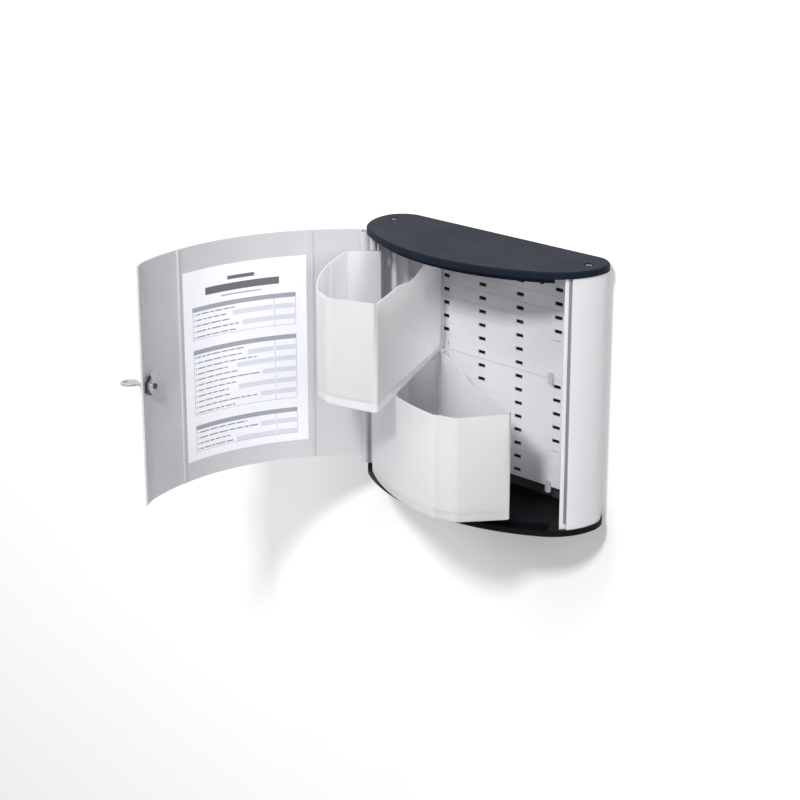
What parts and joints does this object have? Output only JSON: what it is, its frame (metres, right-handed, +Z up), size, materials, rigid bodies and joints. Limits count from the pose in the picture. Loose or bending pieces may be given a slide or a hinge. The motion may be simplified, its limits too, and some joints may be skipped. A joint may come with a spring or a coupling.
{
  "type": "first aid cabinet",
  "caption": "Wall cabinet with dark caps, aluminium sides, a curved hinged door with a key lock and a contents sheet, slotted back panels and swing-out bins.",
  "frame": {"origin": "on the wall, at the middle of the cabinet's width and height: the centre of the back plate's rear face", "axes": "+X to the right as seen from the front, +Y into the wall, +Z up"},
  "size_m": [0.3975, 0.3264, 0.28],
  "materials": {
    "cap_plastic": "fine moulded texture, dark grey",
    "profile_aluminium": "satin, clear anodised",
    "door_aluminium": "satin, clear anodised",
    "back_plate_metal": "plain grey coat",
    "panel_plastic": "light grey, semi-matt",
    "clear_plastic": "clear moulded plastic",
    "clear_film": "clear film",
    "contents_paper": "printed paper",
    "bin_plastic": "milky, slightly see-through",
    "grey_plastic": "light grey, semi-matt",
    "black_rubber": "matt",
    "grey_rubber": "matt",
    "bright_steel": "bright zinc",
    "lock_chrome": "polished",
    "dark_metal": "black oxide",
    "key_steel": "nickel plated"
  },
  "bodies": {
    "cabinet": {"top_cap": "cap_plastic", "bottom_cap": "cap_plastic", "cap_screws": "bright_steel", "left_side_profile": "profile_aluminium", "right_side_profile": "profile_aluminium", "back_plate": "back_plate_metal", "back_plate_rivets": "bright_steel", "upper_slot_panel": "panel_plastic", "lower_slot_panel": "panel_plastic", "panel_clips": "clear_plastic", "door_bumper": "black_rubber", "door_seal": "grey_rubber", "hinge_pins": "bright_steel", "bin_hinge_rod": "bright_steel", "bin_hinge_clips": "panel_plastic"},
    "door": {"door_leaf": "door_aluminium", "hinge_bushes": "grey_plastic", "document_rails": "grey_plastic", "document_film": "clear_film", "contents_sheet": "contents_paper", "lock_housing": "lock_chrome", "lock_nut": "dark_metal"},
    "lock": {"lock_plug": "lock_chrome", "lock_cam": "bright_steel", "cam_screw": "dark_metal"},
    "key": {"key": "key_steel"},
    "upper_bin": {"upper_bin_walls": "bin_plastic", "upper_bin_base": "bin_plastic"},
    "lower_bin": {"lower_bin_walls": "bin_plastic", "lower_bin_base": "bin_plastic"}
  },
  "joints": [
    {"name": "door_swing", "type": "hinge", "parent": "cabinet", "child": "door", "pos_m": [-0.13567, -0.06065, 0], "axis": [0, 0, 1], "range_deg": [0, 105]},
    {"name": "upper_bin_swing", "type": "hinge", "parent": "cabinet", "child": "upper_bin", "pos_m": [-0.078, -0.014, 0], "axis": [0, 0, 1], "range_deg": [0, 66]},
    {"name": "lower_bin_swing", "type": "hinge", "parent": "cabinet", "child": "lower_bin", "pos_m": [-0.078, -0.014, 0], "axis": [0, 0, 1], "range_deg": [0, 27.3]},
    {"name": "lock_turn", "type": "hinge", "parent": "door", "child": "lock", "pos_m": [-0.21905, -0.3092, 0], "axis": [0.9195, 0.3931, 0], "range_deg": [0, 90]},
    {"name": "key_slide", "type": "slide", "parent": "lock", "child": "key", "axis": [-0.9195, -0.3931, 0], "range_m": [0, 0.03]}
  ],
  "couplings": [
    {"joint": "upper_bin_swing", "follows": "door_swing", "ratio": 0.62857},
    {"joint": "lower_bin_swing", "follows": "door_swing", "ratio": 0.26}
  ]
}
